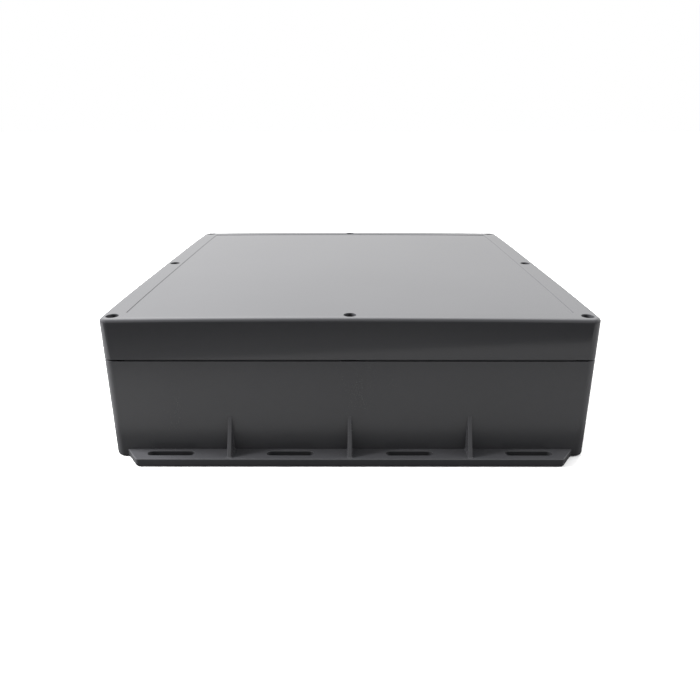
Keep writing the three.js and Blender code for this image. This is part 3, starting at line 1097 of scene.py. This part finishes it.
def add_floor():
    """A white floor that only the camera sees, a grey table that lights the box, and a dark pad
    round its foot that is a painted contact shadow for reflections and bounced light.
    """
    front = -FLOOR_SIZE
    floor = add_board("studio_floor", FLOOR_SIZE, front, front, FLOOR_LEVEL, FLOOR_WHITE)
    floor.visible_diffuse = False
    floor.visible_glossy = False
    floor.visible_shadow = False
    left, right = TABLE_FRONT_LEFT, TABLE_FRONT_RIGHT
    table = add_board("studio_table", TABLE_SIZE, left, right, TABLE_LEVEL, TABLE_GREY)
    table.visible_camera = False
    # Painted shadow: the dark board that stands in for the box's contact shadow. It is hidden from
    # the camera.
    pad = add_board("studio_shadow_pad", SHADOW_PAD_SIZE, -SHADOW_PAD_SIZE, -SHADOW_PAD_SIZE, SHADOW_PAD_LEVEL, SHADOW_PAD_GREY)
    pad.visible_camera = False


def add_softbox(name, place, size, power):
    """A square lamp that faces the box and leaves no highlight of its own."""
    light = bpy.data.lights.new(name, "AREA")
    light.shape = "SQUARE"
    light.size = size
    light.energy = power
    lamp = bpy.data.objects.new(name, light)
    lamp.location = place
    lamp.rotation_mode = "QUATERNION"
    lamp.rotation_quaternion = (Vector(LAMP_TARGET) - Vector(place)).to_track_quat("-Z", "Y")
    lamp.visible_glossy = False
    bpy.context.scene.collection.objects.link(lamp)


def add_room():
    """A room that is brightest overhead and brighter at the back. The camera sees it as white."""
    world = bpy.data.worlds.new("studio")
    bpy.context.scene.world = world
    world.use_nodes = True
    sky = Nodes(world.node_tree)
    direction = sky.node("ShaderNodeTexCoord").outputs["Generated"]
    parts = sky.node("ShaderNodeSeparateXYZ", {0: direction}).outputs
    front = sky.spread(parts["Z"], *FRONT_RISE, ROOM_FRONT_LOW, ROOM_FRONT)
    back = sky.spread(parts["Z"], *BACK_RISE, ROOM_BACK_LOW, ROOM_BACK)
    to_right = sky.spread(parts["X"], *LEFT_TO_RIGHT, 1.0, ROOM_RIGHT)
    back = sky.math("MULTIPLY", back, to_right)
    to_back = sky.spread(parts["Y"], *FRONT_TO_BACK, 0.0, 1.0)
    walls = sky.blend(to_back, front, back)
    to_top = sky.spread(sky.dot(direction, ROOM_TOP_TOWARDS), *WALLS_TO_TOP, 0.0, 1.0)
    room = sky.blend(to_top, walls, ROOM_TOP)
    ground = sky.spread(parts["Z"], *FAR_TO_NEAR, ROOM_BELOW, ROOM_NEAR)
    level = sky.blend(sky.math("LESS_THAN", parts["Z"], 0.0), room, ground)
    seen = sky.node("ShaderNodeLightPath").outputs["Is Camera Ray"]
    level = sky.math("MAXIMUM", level, seen)
    background = world.node_tree.nodes["Background"]
    world.node_tree.links.new(level, background.inputs["Strength"])
    background.inputs["Color"].default_value = (1, 1, 1, 1)


def add_camera():
    """The camera stands straight in front of the box and looks down at it."""
    data = bpy.data.cameras.new("camera")
    data.sensor_width = CAMERA_SENSOR
    data.lens = CAMERA_LENS
    camera = bpy.data.objects.new("camera", data)
    camera.location = CAMERA_PLACE
    ahead = math.cos(CAMERA_PITCH)
    aside = math.sin(CAMERA_YAW) * ahead
    forward = math.cos(CAMERA_YAW) * ahead
    level = Vector((aside, forward, -math.sin(CAMERA_PITCH))).to_track_quat("-Z", "Y")
    camera.rotation_mode = "QUATERNION"
    camera.rotation_quaternion = level @ Matrix.Rotation(CAMERA_ROLL, 3, "Z").to_quaternion()
    bpy.context.scene.collection.objects.link(camera)
    bpy.context.scene.camera = camera


add_floor()
add_room()
add_softbox("left_softbox", LEFT_PLACE, LEFT_SIZE, LEFT_POWER)
add_softbox("right_softbox", RIGHT_PLACE, RIGHT_SIZE, RIGHT_POWER)
add_camera()
bpy.context.scene.view_settings.view_transform = "Standard"
